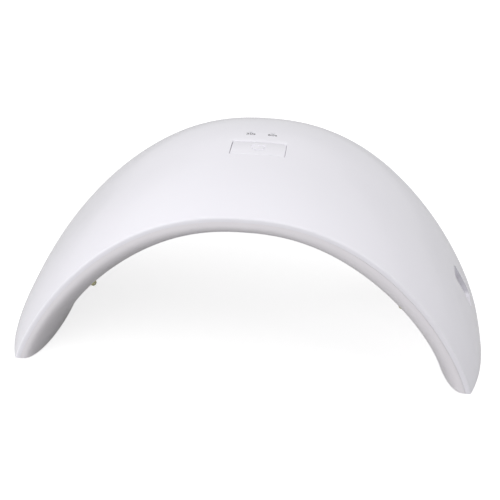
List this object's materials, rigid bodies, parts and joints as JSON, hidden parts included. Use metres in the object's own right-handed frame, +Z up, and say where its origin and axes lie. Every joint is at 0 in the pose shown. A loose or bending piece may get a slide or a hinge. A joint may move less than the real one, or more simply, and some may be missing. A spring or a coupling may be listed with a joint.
{
  "type": "uv nail lamp",
  "caption": "Arched table-top nail-curing lamp: glossy white shell, recessed light panel with domed diodes, push button on top, power inlet in one flank.",
  "frame": {"origin": "on the table plane, under the middle of the lamp's box", "axes": "+X across the arch towards the flank with the power inlet, +Y from the front, where the picture looks in, to the back, +Z up"},
  "size_m": [0.21, 0.1092, 0.0822],
  "materials": {
    "shell_white": "smooth glossy moulded white with a faint lilac tint",
    "panel_white": "smooth half-gloss white",
    "button_white": "smooth glossy white, engraved power symbol in the same colour",
    "clear_plastic": "clear moulded light guide",
    "indicator_resin": "small moulded diode, pale yellow resin",
    "bead_phosphor": "domed clear resin over a yellow-green chip",
    "board_green": "green solder-masked circuit board",
    "strip_white": "white flexible circuit strip",
    "black_plastic": "black moulded plastic",
    "connector_cream": "cream moulded connector",
    "ferrite_black": "dark grey ferrite",
    "can_aluminium": "plain drawn can",
    "contact_metal": "bright plated contact",
    "screw_steel": "plated steel with a cross recess",
    "pad_rubber": "grey rubber",
    "wire_red": "red wire insulation",
    "wire_black": "black wire insulation",
    "wire_white": "white wire insulation",
    "marking_ink": "dark grey printed timer numbers"
  },
  "bodies": {
    "housing": {"outer_shell": "shell_white", "inner_panel": "panel_white", "tact_switch_body": "black_plastic", "light_guide_30": "clear_plastic", "light_guide_60": "clear_plastic", "indicator_led_30": "indicator_resin", "indicator_led_60": "indicator_resin", "control_board": "board_green", "controller_chip": "black_plastic", "driver_mosfet": "black_plastic", "power_connector": "connector_cream", "driver_inductor": "ferrite_black", "smoothing_capacitor": "can_aluminium", "led_strip_front": "strip_white", "led_strip_middle": "strip_white", "led_strip_back": "strip_white", "dc_jack_housing": "black_plastic", "dc_jack_pin": "contact_metal", "dc_jack_contact": "contact_metal", "power_wire_positive": "wire_red", "power_wire_negative": "wire_black", "strip_lead_front": "wire_white", "strip_lead_middle": "wire_white", "strip_lead_back": "wire_white", "uv_bead_01": "bead_phosphor", "uv_bead_02": "bead_phosphor", "uv_bead_03": "bead_phosphor", "uv_bead_04": "bead_phosphor", "uv_bead_05": "bead_phosphor", "uv_bead_06": "bead_phosphor", "uv_bead_07": "bead_phosphor", "uv_bead_08": "bead_phosphor", "uv_bead_09": "bead_phosphor", "uv_bead_10": "bead_phosphor", "uv_bead_11": "bead_phosphor", "uv_bead_12": "bead_phosphor", "uv_bead_13": "bead_phosphor", "uv_bead_14": "bead_phosphor", "uv_bead_15": "bead_phosphor", "uv_bead_16": "bead_phosphor", "uv_bead_17": "bead_phosphor", "uv_bead_18": "bead_phosphor", "case_screw_left_front": "screw_steel", "foot_pad_left_front": "pad_rubber", "case_screw_left_back": "screw_steel", "foot_pad_left_back": "pad_rubber", "board_screw_left": "screw_steel", "case_screw_right_front": "screw_steel", "foot_pad_right_front": "pad_rubber", "case_screw_right_back": "screw_steel", "foot_pad_right_back": "pad_rubber", "board_screw_right": "screw_steel"},
    "button": {"button_cap": "button_white"},
    "plunger": {"tact_switch_plunger": "black_plastic"}
  },
  "joints": [
    {"name": "button_press", "type": "slide", "parent": "housing", "child": "button", "axis": [0, 0, -1], "range_m": [0, 0.0005], "stiffness_N_per_m": 2000},
    {"name": "plunger_press", "type": "slide", "parent": "housing", "child": "plunger", "axis": [0, 0, -1], "range_m": [0, 0.0005]}
  ],
  "couplings": [
    {"joint": "plunger_press", "follows": "button_press", "ratio": 1}
  ]
}
